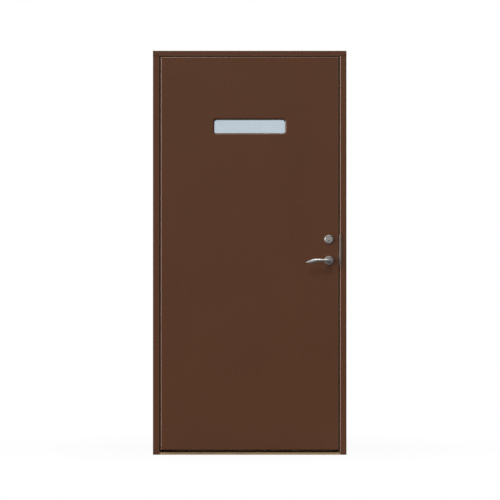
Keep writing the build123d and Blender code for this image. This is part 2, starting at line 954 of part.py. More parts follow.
def make_plug():
    """The plug, with a key slot in its face."""
    start = front - cylinder_proud - plug_proud
    length = -case_face - slide_gap - start
    plug = rod((lock_x, start, cam_height), (0, 1, 0), plug_radius, length)
    half = keyway_width / 2
    return plug - block(lock_x - half, lock_x + half, start, start + keyway_depth,
                        cam_height - keyway_height / 2, cam_height + keyway_height / 2)


def make_cylinder_ring():
    """The tapered ring round the cylinder."""
    bore = cylinder_radius + slide_gap
    top = front - ring_height
    return turned(
        [
            (bore, front),
            (ring_radius, front),
            (ring_radius, front - ring_rim),
            (ring_lip, top),
            (bore, top),
        ],
        lock_x,
        cylinder_height,
    )


# Handles


def make_rosette(bore):
    """A dished rosette on the pull side, on the lever's axis."""
    top = front - rosette_height
    dish = top + rosette_dish_depth
    return turned(
        [
            (bore, front),
            (rosette_radius, front),
            (rosette_radius, front - rosette_rim),
            (rosette_edge, top),
            (rosette_dish, top),
            (rosette_dish - rosette_dish_depth, dish),
            (bore, dish),
        ],
        lock_x,
        lever_height,
    )


def oval(centre, travel, half_across, half_up):
    """An upright oval section, square to the way the lever runs."""
    place = Plane(origin=centre, x_dir=(0, 0, 1), z_dir=travel)
    return place * Ellipse(half_up, half_across)


def make_lever():
    """The lever: a round neck, an elbow and an arched blade that droops to a point."""
    neck_end = front - neck_length
    stand = neck_end - elbow_radius
    turn = radians(elbow_angle)
    elbow = (elbow_radius * (cos(turn) - 1), neck_end - elbow_radius * sin(turn), 0)
    sections = [
        Plane(origin=(0, neck_end, 0), x_dir=(0, 0, 1), z_dir=(0, -1, 0)) * Circle(neck_radius),
        Plane(origin=elbow, x_dir=(0, 0, 1), z_dir=(-sin(turn), -cos(turn), 0)) * Circle(neck_radius),
    ]
    for along, rise, tall, deep, lean in blade_shares:
        centre = (-along * lever_length, stand + lean * elbow_radius, rise * lever_length)
        sections.append(oval(centre, (-1, 0, 0), deep * blade_depth / 2, tall * blade_height / 2))
    blade = loft(sections)
    neck = rod((0, neck_end, 0), (0, 1, 0), neck_radius, neck_length - neck_start)
    half = spindle_side / 2
    socket_end = front - neck_start - spindle_engagement
    socket = block(-half, half, socket_end, front, -half, half)
    return Pos(lock_x, 0, lever_height) * (neck + blade - socket)


def make_spindle():
    """The square spindle through both levers and the follower."""
    half = spindle_side / 2
    reach = leaf_thickness / 2 + neck_start + spindle_engagement
    return block(lock_x - half, lock_x + half, -reach, reach, lever_height - half, lever_height + half)


def make_thumbturn():
    """The thumbturn: a round neck in its rosette and an oval grip."""
    start = back + neck_start
    neck_length_out = rosette_height + turn_stand - neck_start
    neck = rod((lock_x, start, cam_height), (0, 1, 0), turn_neck_radius, neck_length_out)
    grip_start = start + neck_length_out
    place = Plane(origin=(lock_x, grip_start, cam_height), x_dir=(0, 0, 1), z_dir=(0, 1, 0))
    grip = extrude(place * SlotOverall(turn_length, turn_width), turn_height)
    grip = fillet(grip.faces().sort_by(Axis.Y)[-1].edges(), turn_width / 4)
    return neck + grip - make_tailpiece()


def place_turn_rosette():
    """The thumbturn's rosette, on the room side and on the cam's axis."""
    return Pos(0, 0, cam_height - lever_height) * to_room(make_rosette(turn_neck_radius + turn_gap))


pieces = {
    "frame_head": make_head(),
    "frame_hinge_jamb": make_hinge_jamb(),
    "frame_lock_jamb": make_lock_jamb(),
    "frame_fixing_tubes": make_fixing_tubes(),
    "threshold": make_threshold(),
    "seal_head": make_head_seal(),
    "seal_hinge_jamb": make_jamb_seal(),
    "seal_lock_jamb": mirror(make_jamb_seal(), Plane.YZ),
    "seal_threshold": make_threshold_seal(),
    "strike_plate": make_strike_plate(),
    "strike_box": make_strike_box(),
    "strike_screws": group(strike_screws()),
    "hinge_washers": make_washers(),
    "hinge_plate_screws": make_plate_screws(),
    "leaf_front_skin": make_front_skin(),
    "leaf_rear_skin": make_rear_skin(),
    "leaf_hinge_channel": make_hinge_channel(),
    "leaf_lock_channel": make_lock_channel(),
    "leaf_core": make_core(),
    "glass_outer_pane": make_pane(pane_front),
    "glass_inner_pane": make_pane(pane_back - glass_sheet),
    "glass_spacer": make_spacer(),
    "glass_front_gasket": make_gasket(front + window_flange),
    "glass_rear_gasket": make_gasket(pane_back),
    "glass_setting_blocks": make_setting_blocks(),
    "glazing_bead": make_bead(),
    "glazing_bead_screws": group(bead_screws()),
    "lock_case": make_case(),
    "lock_case_cover": make_case_cover(),
    "lock_forend": make_forend(),
    "lock_forend_screws": group(forend_screws()),
    "lock_follower": make_follower(),
    "latch_bolt": make_latch(),
    "dead_bolt": make_dead_bolt(),
    "bolt_cam": make_cam(),
    "bolt_tailpiece": make_tailpiece(),
    "cylinder_body": make_cylinder_body(),
    "cylinder_plug": make_plug(),
    "cylinder_ring": make_cylinder_ring(),
    "lever_outside_rosette": make_rosette(neck_radius + turn_gap),
    "lever_inside_rosette": to_room(make_rosette(neck_radius + turn_gap)),
    "lever_outside": make_lever(),
    "lever_inside": to_room(make_lever()),
    "lever_spindle": make_spindle(),
    "thumbturn": make_thumbturn(),
    "thumbturn_rosette": place_turn_rosette(),
}
for place_name, hinge_height in hinge_heights.items():
    pieces[f"hinge_{place_name}_bracket"] = make_bracket(hinge_height)
    pieces[f"hinge_{place_name}_pin"] = make_pin(hinge_height)
    pieces[f"hinge_{place_name}_arm"] = make_arm(hinge_height)

os.makedirs("parts", exist_ok=True)
for name, piece in pieces.items():
    export_step(piece, os.path.join("parts", name + ".step"))
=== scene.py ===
import json
import math

import bmesh
import bpy
from bpy.props import FloatProperty, FloatVectorProperty, IntProperty, PointerProperty
from mathutils import Matrix, Vector


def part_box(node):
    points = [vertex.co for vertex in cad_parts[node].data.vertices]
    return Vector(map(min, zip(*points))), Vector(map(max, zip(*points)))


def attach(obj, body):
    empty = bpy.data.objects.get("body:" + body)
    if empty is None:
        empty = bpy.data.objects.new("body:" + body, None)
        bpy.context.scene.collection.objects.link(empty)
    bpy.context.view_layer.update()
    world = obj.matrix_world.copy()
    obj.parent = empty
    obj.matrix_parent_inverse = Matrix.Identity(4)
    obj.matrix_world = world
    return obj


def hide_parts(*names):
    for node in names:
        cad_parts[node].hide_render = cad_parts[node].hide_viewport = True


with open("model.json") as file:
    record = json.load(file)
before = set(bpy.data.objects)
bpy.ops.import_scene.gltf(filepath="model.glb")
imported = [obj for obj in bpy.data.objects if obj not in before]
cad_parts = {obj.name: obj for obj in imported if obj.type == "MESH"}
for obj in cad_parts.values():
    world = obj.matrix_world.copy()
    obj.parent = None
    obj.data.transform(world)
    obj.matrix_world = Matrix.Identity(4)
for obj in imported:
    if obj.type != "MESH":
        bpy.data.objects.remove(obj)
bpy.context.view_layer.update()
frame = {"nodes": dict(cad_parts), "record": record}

bl_info = {
    "name": "Painted Steel Door",
    "version": (1, 0, 0),
    "blender": (4, 5, 0),
    "location": "3D View > Sidebar > Door",
    "description": "Finishes, screws and stage for a painted steel door with a glazed slot",
    "category": "Object",
}

# Nodes of the model that share a finish
PAINTED = [
    "frame_head",
    "frame_hinge_jamb",
    "frame_lock_jamb",
    "leaf_front_skin",
    "leaf_rear_skin",
    "glazing_bead",
]
PANES = ["glass_outer_pane", "glass_inner_pane"]
RUBBER = [
    "seal_head",
    "seal_hinge_jamb",
    "seal_lock_jamb",
    "seal_threshold",
    "glass_front_gasket",
    "glass_rear_gasket",
    "glass_setting_blocks",
]
HINGE_PLACES = ("lower", "middle", "upper")
HINGE_ARMS = [f"hinge_{place}_arm" for place in HINGE_PLACES]
HINGE_SEATS = ["hinge_washers"] + [
    f"hinge_{place}_{piece}" for place in HINGE_PLACES for piece in ("bracket", "pin")
]
LEAF_STEEL = ["leaf_hinge_channel", "leaf_lock_channel", "frame_fixing_tubes", "strike_box"]
LOCK_WORKS = [
    "lock_case",
    "lock_case_cover",
    "lock_follower",
    "bolt_cam",
    "bolt_tailpiece",
    "lever_spindle",
]
LOCK_EDGE = ["lock_forend", "latch_bolt", "dead_bolt"]
LEVERS = ["lever_outside", "lever_inside", "thumbturn"]
LEVER_ROSETTES = ["lever_outside_rosette", "lever_inside_rosette"]

# Colours of the record's material slots
SLOT_COLOURS = {slot["slot"]: slot["base_color"][:3] for slot in frame["record"]["materials"]}
WHITE = (1, 1, 1, 1)
FLOOR_DARK = (0.25, 0.25, 0.25, 1)
FLOOR_LIGHT = (0.27, 0.27, 0.27, 1)

# Depths of the surface reliefs, in metres
OAK_RELIEF = 0.00012
RUBBER_RELIEF = 0.00004
ZINC_RELIEF = 0.00002
BRUSH_RELIEF = 0.000006
STRIKE_RELIEF = 0.000008
TURNED_RELIEF = 0.000008
SPACER_RELIEF = 0.00005
WOOL_RELIEF = 0.0006

# Waves per metre of brushed lines, along each axis
LEVER_BRUSH = (60, 900, 900)
EDGE_BRUSH = (900, 900, 40)
SCREW_BRUSH = (300, 300, 300)

# Distance between the rings that turning leaves
TURNED_PITCH = 0.0004

# Height and depth over which the painted shade on the threshold's tread fades
TREAD_SHADE_FADE = 0.002

# Joining and smoothing of the model's triangles
MERGE_DISTANCE = 0.000002
SMOOTH_ANGLE = math.radians(28)
FACE_WEIGHT = 100

# The two sides of a middle
SIDES = (-1, 1)

# Screw meshes: shank and countersink as shares of the head's radius, point of the shank's
SCREW_SEGMENTS = 24
FLAT_TOLERANCE = 1e-7
SHANK_SHARE = 0.5
DEEP_SINK_SHARE = 0.5
STRIKE_SINK_SHARE = 0.45
BEAD_SINK_SHARE = 0.36
POINT_SHARE = 0.25

# Parts of a direction between which the mirrored room grows lighter
LEVEL_RAMP = (-0.40, 0.0)
TOP_RAMP = (0.20, 0.65)
SIDE_RAMP = (0.45, 0.90)
BEHIND_RAMP = (0.0, 0.5)

# Shares of the floor between which its shadow fades
FLOOR_FADE = (0.4, 0.95)

# Farthest distance that the camera sees, in metres
VIEW_LIMIT = 100


def shade(colour, amount):
    """A colour made lighter or darker, with its alpha."""
    return (*(min(channel * amount, 1) for channel in colour), 1)


class Wire:
    """An output socket, with sums and products that add Math nodes."""

    def __init__(self, finish, socket):
        self.finish = finish
        self.socket = socket

    def combine(self, operation, first, second):
        """The result of a Math node."""
        inputs = {0: first, 1: second}
        return self.finish.node("ShaderNodeMath", {"operation": operation}, inputs)

    def __add__(self, other):
        return self.combine("ADD", self, other)

    def __radd__(self, other):
        return self.combine("ADD", other, self)

    def __sub__(self, other):
        return self.combine("SUBTRACT", self, other)

    def __rsub__(self, other):
        return self.combine("SUBTRACT", other, self)

    def __mul__(self, other):
        return self.combine("MULTIPLY", self, other)

    def __rmul__(self, other):
        return self.combine("MULTIPLY", other, self)

    def __abs__(self):
        return self.combine("ABSOLUTE", self, 0.0)

    def larger(self, other):
        """The larger of two values."""
        return self.combine("MAXIMUM", self, other)


class Finish:
    """A node tree of a material or of the world, written as expressions."""

    def __init__(self, owner):
        owner.use_nodes = True
        self.owner = owner
        self.tree = owner.node_tree
        self.tree.nodes.clear()

    def node(self, kind, settings=None, inputs=None, output=0):
        """Add a node, set it up, feed its sockets and return one of its outputs."""
        made = self.tree.nodes.new(kind)
        for key, value in (settings or {}).items():
            setattr(made, key, value)
        for key, value in (inputs or {}).items():
            if isinstance(value, Wire):
                self.tree.links.new(value.socket, made.inputs[key])
            else:
                made.inputs[key].default_value = value
        return Wire(self, made.outputs[output]) if made.outputs else None

    def vector(self, operation, first, second):
        """The result of a Vector Math node."""
        inputs = {0: first, 1: second}
        return self.node("ShaderNodeVectorMath", {"operation": operation}, inputs)

    def length(self, first):
        """The length of a vector."""
        return self.node("ShaderNodeVectorMath", {"operation": "LENGTH"}, {0: first}, "Value")

    def place(self, stretch=(1, 1, 1), middle=(0, 0, 0)):
        """Object coordinates about a middle, stretched along each axis."""
        spot = self.node("ShaderNodeTexCoord", output="Object")
        return self.vector("MULTIPLY", self.vector("SUBTRACT", spot, middle), stretch)

    def axes(self, place):
        """The three parts of a place."""
        inputs = {0: place}
        return [self.node("ShaderNodeSeparateXYZ", inputs=inputs, output=axis) for axis in "XYZ"]

    def rays(self, *names):
        """Outputs of the light path, which tell what kind of ray asks."""
        return [self.node("ShaderNodeLightPath", output=name) for name in names]

    def noise(self, place, scale, detail=2.0, distortion=0.0):
        """Soft noise from 0 to 1."""
        inputs = {"Vector": place, "Scale": scale, "Detail": detail, "Distortion": distortion}
        return self.node("ShaderNodeTexNoise", inputs=inputs)

    def cells(self, scale, randomness, output):
        """Cells about scattered points."""
        inputs = {"Vector": self.place(), "Scale": scale, "Randomness": randomness}
        return self.node("ShaderNodeTexVoronoi", {"feature": "F1"}, inputs, output)

    def band(self, value, low, high):
        """0 below one value and 1 above another, with a straight ramp between."""
        settings = {"interpolation_type": "LINEAR", "clamp": True}
        inputs = {"Value": value, "From Min": low, "From Max": high, "To Min": 0.0, "To Max": 1.0}
        return self.node("ShaderNodeMapRange", settings, inputs)

    def mix(self, factor, first, second):
        """A colour between two colours."""
        inputs = {0: factor, 6: first, 7: second}
        return self.node("ShaderNodeMix", {"data_type": "RGBA"}, inputs, 2)

    def tones(self, factor, colour, first, second):
        """A colour between two tones of it."""
        return self.mix(factor, shade(colour, first), shade(colour, second))

    def bump(self, height, depth):
        """A normal from a height that is measured in metres."""
        inputs = {"Height": height, "Distance": depth, "Strength": 1.0}
        return self.node("ShaderNodeBump", inputs=inputs)

    def turned_lines(self, middle):
        """Fine rings about an axis along Y."""
        radius = self.length(self.vector("MULTIPLY", self.place(middle=middle), (1, 0, 1)))
        inputs = {"W": radius * (1 / TURNED_PITCH), "Scale": 1.0, "Detail": 2.0}
        return self.node("ShaderNodeTexNoise", {"noise_dimensions": "1D"}, inputs)

    def surface(self, inputs):
        """Finish the material with one surface shader."""
        self.output(self.node("ShaderNodeBsdfPrincipled", inputs=inputs))
        return self.owner

    def output(self, shader):
        """Send a shader to the output of the material or the world."""
        ends = "World" if isinstance(self.owner, bpy.types.World) else "Material"
        self.node("ShaderNodeOutput" + ends, inputs={"Surface": shader})


def new_finish(name):
    """A finish for a new material."""
    return Finish(bpy.data.materials.new(name))


def gap_bends(paint, place, look):
    """1 on the bends of the leaf and the frame along the door gap, and 0 elsewhere."""
    low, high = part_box("leaf_front_skin")
    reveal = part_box("threshold")[1].x
    head = high.z + look.top_gap
    half = look.bend / 2
    across, depth, height = paint.axes(place)
    sides = paint.band(abs(across), high.x - look.bend, high.x - half)
    top = paint.band(height, high.z - look.bend, high.z - half)
    past_sides = paint.band(abs(across), reveal + half, reveal + look.bend)
    past_top = paint.band(height, head + half, head + look.bend)
    faces = paint.band(abs(depth), -low.y - look.bend, -low.y - half / 2)
    return sides.larger(top) * (1 - past_sides.larger(past_top)) * faces


def brown_paint(look):
    """Satin powder coat with a fine orange peel, and a painted highlight: lighter paint on the
    bends along the door gap, broken up like wear.
    """
    paint = new_finish("brown_paint")
    place = paint.place()
    patches = paint.noise(place, scale=3.0, detail=3)
    peel = paint.noise(place, scale=1 / look.peel_size, detail=1)
    grit = paint.noise(place, scale=4 / look.peel_size, detail=0)
    # Painted highlight: lighter paint on the bends along the door gap stands in for the light they
    # catch; noise breaks it up like wear.
    highlight_breakup = paint.band(paint.noise(place, scale=30, detail=4), low=-0.6, high=0.4)
    rub_and_highlight = gap_bends(paint, place, look) * highlight_breakup
    coat = paint.tones(patches, look.paint, 0.93, 1.07)
    return paint.surface({
        "Base Color": paint.mix(rub_and_highlight, coat, shade(look.edge_highlight_paint, 1)),
        "Roughness": look.paint_roughness + 0.06 * patches + 0.04 * grit,
        "Specular IOR Level": 0.5,
        "Normal": paint.bump(peel + 0.25 * grit, look.peel_depth),
    })


def oiled_oak(look):
    """Oak with long grain, dark pores, an oiled sheen and a darker tread, a painted shade of the
    leaf above it.
    """
    oak = new_finish("oiled_oak")
    rings = oak.noise(oak.place((1.1, 20, 26)), scale=3.2, detail=5, distortion=1.4)
    streaks = oak.noise(oak.place((2.5, 160, 160)), scale=3.0, detail=3)
    pores = oak.noise(oak.place((26, 900, 900)), scale=1.0, detail=1)
    pores = oak.band(pores, low=0.60, high=0.72)
    grain = oak.band(rings, low=0.32, high=0.68)
    body = oak.tones(grain, look.oak, 0.72, 1.16)
    streaked = oak.mix(0.35 * streaks, body, shade(look.oak, 0.55))
    depth, height = oak.axes(oak.place())[1:]
    # Painted shade: the tread's nose under the leaf's edge is darkened where the leaf's shadow
    # falls, up to the stop.
    top = oak.band(height, look.tread_shade_height - TREAD_SHADE_FADE, look.tread_shade_height)
    stop = oak.band(depth, look.tread_shade_back - 2 * TREAD_SHADE_FADE, look.tread_shade_back)
    shaded_tread = oak.mix(0.85 * (top * (1 - stop)), streaked, shade(look.oak, 0.25))
    return oak.surface({
        "Base Color": oak.mix(0.6 * pores, shaded_tread, shade(look.oak, 0.32)),
        "Roughness": look.oak_roughness + 0.12 * streaks + 0.15 * pores,
        "Specular IOR Level": 0.4,
        "Normal": oak.bump(0.5 * streaks - 1.0 * pores, OAK_RELIEF),
    })


def seal_rubber(look):
    """Dull black rubber with a dusty bloom."""
    rubber = new_finish("seal_rubber")
    place = rubber.place()
    bloom = rubber.noise(place, scale=60, detail=3)
    grain = rubber.noise(place, scale=1500, detail=1)
    return rubber.surface({
        "Base Color": rubber.tones(bloom, look.rubber, 0.7, 1.6),
        "Roughness": look.rubber_roughness + 0.14 * bloom,
        "Specular IOR Level": 0.3,
        "Normal": rubber.bump(grain, RUBBER_RELIEF),
    })


def zinc_plate(look, name, colour):
    """Zinc-plated steel with a crystal spangle and drawn lines."""
    zinc = new_finish(name)
    cells = zinc.cells(scale=160.0, randomness=1.0, output="Color")
    spangle = zinc.node("ShaderNodeSeparateColor", inputs={"Color": cells})
    lines = zinc.noise(zinc.place((500, 500, 30)), scale=1.0, detail=2)
    return zinc.surface({
        "Base Color": zinc.tones(spangle, colour, 0.88, 1.10),
        "Metallic": 1.0,
        "Roughness": look.zinc_roughness + 0.10 * spangle + 0.06 * lines,
        "Normal": zinc.bump(lines, ZINC_RELIEF),
    })


def drawn_chrome(look, name, colour, stretch):
    """Satin metal with fine brushed lines along a piece."""
    chrome = new_finish(name)
    lines = chrome.noise(chrome.place(stretch), scale=1.0, detail=3)
    smears = chrome.noise(chrome.place(), scale=45, detail=3)
    return chrome.surface({
        "Base Color": chrome.tones(lines, colour, 0.94, 1.06),
        "Metallic": 1.0,
        "Roughness": look.chrome_roughness - 0.06 + 0.08 * lines + 0.05 * smears,
        "Normal": chrome.bump(lines, BRUSH_RELIEF),
    })


def dull_steel(look):
    """Stainless strike plate, rubbed dull by the latch."""
    steel = new_finish("dull_steel")
    lines = steel.noise(steel.place((900, 900, 40)), scale=1.0, detail=3)
    rubs = steel.noise(steel.place((1, 1, 8)), scale=30, detail=4)
    # Stainless strike plate, dulled by the latch.
    return steel.surface({
        "Base Color": steel.tones(lines, look.strike, 0.88, 1.12),
        "Metallic": 1.0,
        "Roughness": look.strike_roughness + 0.08 * lines + 0.10 * rubs,
        "Normal": steel.bump(lines, STRIKE_RELIEF),
    })


def turned_metal(name, colour, node, roughness):
    """Satin metal with the fine rings that turning leaves, about a node's middle."""
    metal = new_finish(name)
    low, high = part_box(node)
    rings = metal.turned_lines((low + high) / 2)
    smears = metal.noise(metal.place(), scale=45, detail=3)
    return metal.surface({
        "Base Color": metal.tones(rings, colour, 0.93, 1.07),
        "Metallic": 1.0,
        "Roughness": roughness - 0.04 + 0.08 * rings + 0.05 * smears,
        "Normal": metal.bump(rings, TURNED_RELIEF),
    })


def key_plug(look):
    """Nickel plug, scratched by keys, with grime and painted shade, near black, in its slot."""
    plug = new_finish("key_plug")
    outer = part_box("cylinder_plug")[0].y
    depth = plug.axes(plug.place())[1]
    # Grime and painted shade: the slot's walls below the face turn near black, for dirt and for the
    # shade inside the slot.
    grime_and_shade = plug.band(depth, outer + look.slot_shade_start, outer + 2 * look.slot_shade_start)
    scratches = plug.noise(plug.place((1, 1, 0.3)), scale=2600, detail=3)
    face = plug.tones(scratches, look.nickel, 0.45, 0.85)
    return plug.surface({
        "Base Color": plug.mix(grime_and_shade, face, shade(look.rubber, 1)),
        "Metallic": 1.0 - 0.9 * grime_and_shade,
        "Roughness": look.chrome_roughness + 0.10 * scratches + 0.3 * grime_and_shade,
    })


def tinted_glass(look):
    """Float glass with a faint tint and a wiped surface."""
    glass = new_finish("tinted_glass")
    wipes = glass.noise(glass.place((6, 1, 22)), scale=2.0, detail=3)
    return glass.surface({
        "Base Color": shade(look.glass, 1),
        "Roughness": 0.01 * wipes,
        "IOR": 1.5,
        "Transmission Weight": 1.0,
    })


def spacer_bar(look):
    """Mill aluminium with the small holes of a glazing spacer."""
    spacer = new_finish("spacer_bar")
    cells = spacer.cells(scale=380.0, randomness=0.0, output="Distance")
    holes = 1 - spacer.band(cells, low=0.14, high=0.20)
    lines = spacer.noise(spacer.place((20, 700, 700)), scale=1.0, detail=2)
    return spacer.surface({
        "Base Color": spacer.tones(0.8 * holes, look.spacer, 1, 0.15),
        "Metallic": 1.0 - 0.7 * holes,
        "Roughness": look.spacer_roughness + 0.12 * lines,
        "Normal": spacer.bump(0.2 * lines - holes, SPACER_RELIEF),
    })


def stone_wool(look):
    """Fibrous mineral wool slab."""
    wool = new_finish("stone_wool")
    strands = wool.noise(wool.place((140, 140, 900)), scale=1.0, detail=5, distortion=2.0)
    clumps = wool.noise(wool.place(), scale=38, detail=4)
    return wool.surface({
        "Base Color": wool.tones(strands * clumps, look.wool, 0.6, 1.35),
        "Roughness": look.wool_roughness + 0.1 * strands,
        "Normal": wool.bump(strands, WOOL_RELIEF),
    })


def smooth_group():
    """A modifier's node group that joins the triangles and smooths edges below an angle."""
    name = "smooth_by_angle"
    if name in bpy.data.node_groups:
        return bpy.data.node_groups[name]
    group = bpy.data.node_groups.new(name, "GeometryNodeTree")
    for way in ("INPUT", "OUTPUT"):
        group.interface.new_socket("Geometry", in_out=way, socket_type="NodeSocketGeometry")
    nodes = group.nodes
    source = nodes.new("NodeGroupInput")
    joined = nodes.new("GeometryNodeMergeByDistance")
    joined.inputs["Distance"].default_value = MERGE_DISTANCE
    faces = nodes.new("GeometryNodeSetShadeSmooth")
    faces.domain = "FACE"
    angle = nodes.new("GeometryNodeInputMeshEdgeAngle")
    shallow = nodes.new("FunctionNodeCompare")
    shallow.data_type = "FLOAT"
    shallow.operation = "LESS_THAN"
    shallow.inputs[1].default_value = SMOOTH_ANGLE
    edges = nodes.new("GeometryNodeSetShadeSmooth")
    edges.domain = "EDGE"
    result = nodes.new("NodeGroupOutput")
    link = group.links.new
    link(source.outputs[0], joined.inputs["Geometry"])
    link(joined.outputs["Geometry"], faces.inputs["Geometry"])
    link(faces.outputs["Geometry"], edges.inputs["Geometry"])
    link(angle.outputs["Unsigned Angle"], shallow.inputs[0])
    link(shallow.outputs["Result"], edges.inputs["Shade Smooth"])
    link(edges.outputs["Geometry"], result.inputs[0])
    return group


def add_smoothing(piece):
    """Smooth a piece's shallow edges and keep its flat faces flat."""
    smooth = piece.modifiers.new("smooth", "NODES")
    smooth.node_group = smooth_group()
    flat = piece.modifiers.new("flat_faces", "WEIGHTED_NORMAL")
    flat.weight = FACE_WEIGHT
    flat.keep_sharp = True


def dress(names, material):
    """Give model nodes a material and smooth shading."""
    for name in names:
        node = frame["nodes"][name]
        if not node.material_slots:
            node.data.materials.append(material)
        for slot in node.material_slots:
            slot.material = material
        add_smoothing(node)


def of_kind(parts, kind):
    """The vertices, edges or faces in the result of a mesh operator."""
    return [part for part in parts if isinstance(part, kind)]


def screw_body(head, shank, sink, length):
    """A countersunk screw at the origin, its head level with Z 0 and its point below."""
    shape = bmesh.new()
    bmesh.ops.create_circle(shape, cap_ends=True, segments=SCREW_SEGMENTS, radius=head)
    rim = [edge for edge in shape.edges if edge.is_boundary]
    rings = ((-sink, shank), (-length + shank, shank), (-length, shank * POINT_SHARE))
    for level, radius in rings:
        made = bmesh.ops.extrude_edge_only(shape, edges=rim)["geom"]
        rim = [edge for edge in of_kind(made, bmesh.types.BMEdge) if edge.is_boundary]
        for point in of_kind(made, bmesh.types.BMVert):
            point.co = Vector((point.co.x, point.co.y, 0)).normalized() * radius
            point.co.z = level
    bmesh.ops.edgeloop_fill(shape, edges=rim)
    return shape


def cross_screw(head, shank, sink, length, recess):
    """A countersunk screw with a tapered cross recess in its head."""
    shape = screw_body(head, shank, sink, length)
    half = head * recess.width
    reach = head * recess.reach
    for side in (half, -half, reach, -reach):
        for across in (Vector((1, 0, 0)), Vector((0, 1, 0))):
            flat = [
                face for face in shape.faces
                if all(abs(vert.co.z) < FLAT_TOLERANCE for vert in face.verts)
            ]
            cut = {part for face in flat for part in (face, *face.edges, *face.verts)}
            bmesh.ops.bisect_plane(
                shape, geom=list(cut), plane_co=across * side, plane_no=across)
    arms = []
    for face in shape.faces:
        middle = face.calc_center_median()
        across, along = sorted((abs(middle.x), abs(middle.y)))
        if middle.z > -FLAT_TOLERANCE and across < half and along < reach:
            arms.append(face)
    sunk = bmesh.ops.extrude_face_region(shape, geom=arms)["geom"]
    bmesh.ops.delete(shape, geom=arms, context="FACES_ONLY")
    floor = of_kind(sunk, bmesh.types.BMVert)
    bmesh.ops.scale(shape, vec=(recess.taper, recess.taper, 1), verts=floor)
    bmesh.ops.translate(shape, vec=(0, 0, -head * recess.depth), verts=floor)
    bmesh.ops.remove_doubles(shape, verts=shape.verts, dist=FLAT_TOLERANCE)
    bmesh.ops.recalc_face_normals(shape, faces=shape.faces)
    return shape


def set_screws(name, node, body, material, spots, inward, size, recess):
    """Put one screw at each spot, in place of the model's plain ones."""
    head, sink_share, length = size
    shape = cross_screw(head, head * SHANK_SHARE, head * sink_share, length, recess)
    template = bpy.data.meshes.new(name + "_template")
    shape.to_mesh(template)
    shape.free()
    turn = Vector((0, 0, -1)).rotation_difference(Vector(inward)).to_matrix().to_4x4()
    group = bmesh.new()
    for spot in spots:
        first = len(group.verts)
        group.from_mesh(template)
        group.verts.ensure_lookup_table()
        move = Matrix.Translation(spot) @ turn
        bmesh.ops.transform(group, matrix=move, verts=group.verts[first:])
    mesh = bpy.data.meshes.new(name)
    group.to_mesh(mesh)
    group.free()
    bpy.data.meshes.remove(template)
    mesh.materials.append(material)
    piece = bpy.data.objects.new(name, mesh)
    bpy.context.scene.collection.objects.link(piece)
    add_smoothing(piece)
    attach(piece, body)
    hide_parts(node)


